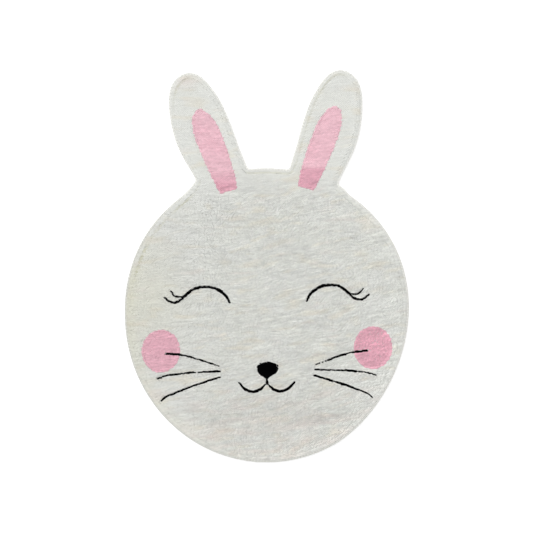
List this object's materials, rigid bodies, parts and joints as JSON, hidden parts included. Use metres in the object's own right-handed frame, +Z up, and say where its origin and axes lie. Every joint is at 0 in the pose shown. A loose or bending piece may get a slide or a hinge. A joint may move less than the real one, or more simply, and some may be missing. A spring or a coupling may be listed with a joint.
{
  "type": "rabbit shaped kids rug",
  "caption": "Flat tufted kids rug cut to a rabbit's head with two upright ears, with an oversewn yarn edge.",
  "frame": {"origin": "middle of the rug's width and length, on the floor that it lies on", "axes": "+Y from the head to the ears, along the rug's length; +X across its width; +Z up out of the pile"},
  "size_m": [0.7999, 1.1049, 0.015],
  "materials": {
    "cream_pile": "matte",
    "edge_yarn": "matte",
    "pink_pile": "matte",
    "black_pile": "matte"
  },
  "bodies": {
    "root": {"pile_panel": "cream_pile", "edge_binding": "edge_yarn"}
  },
  "joints": []
}
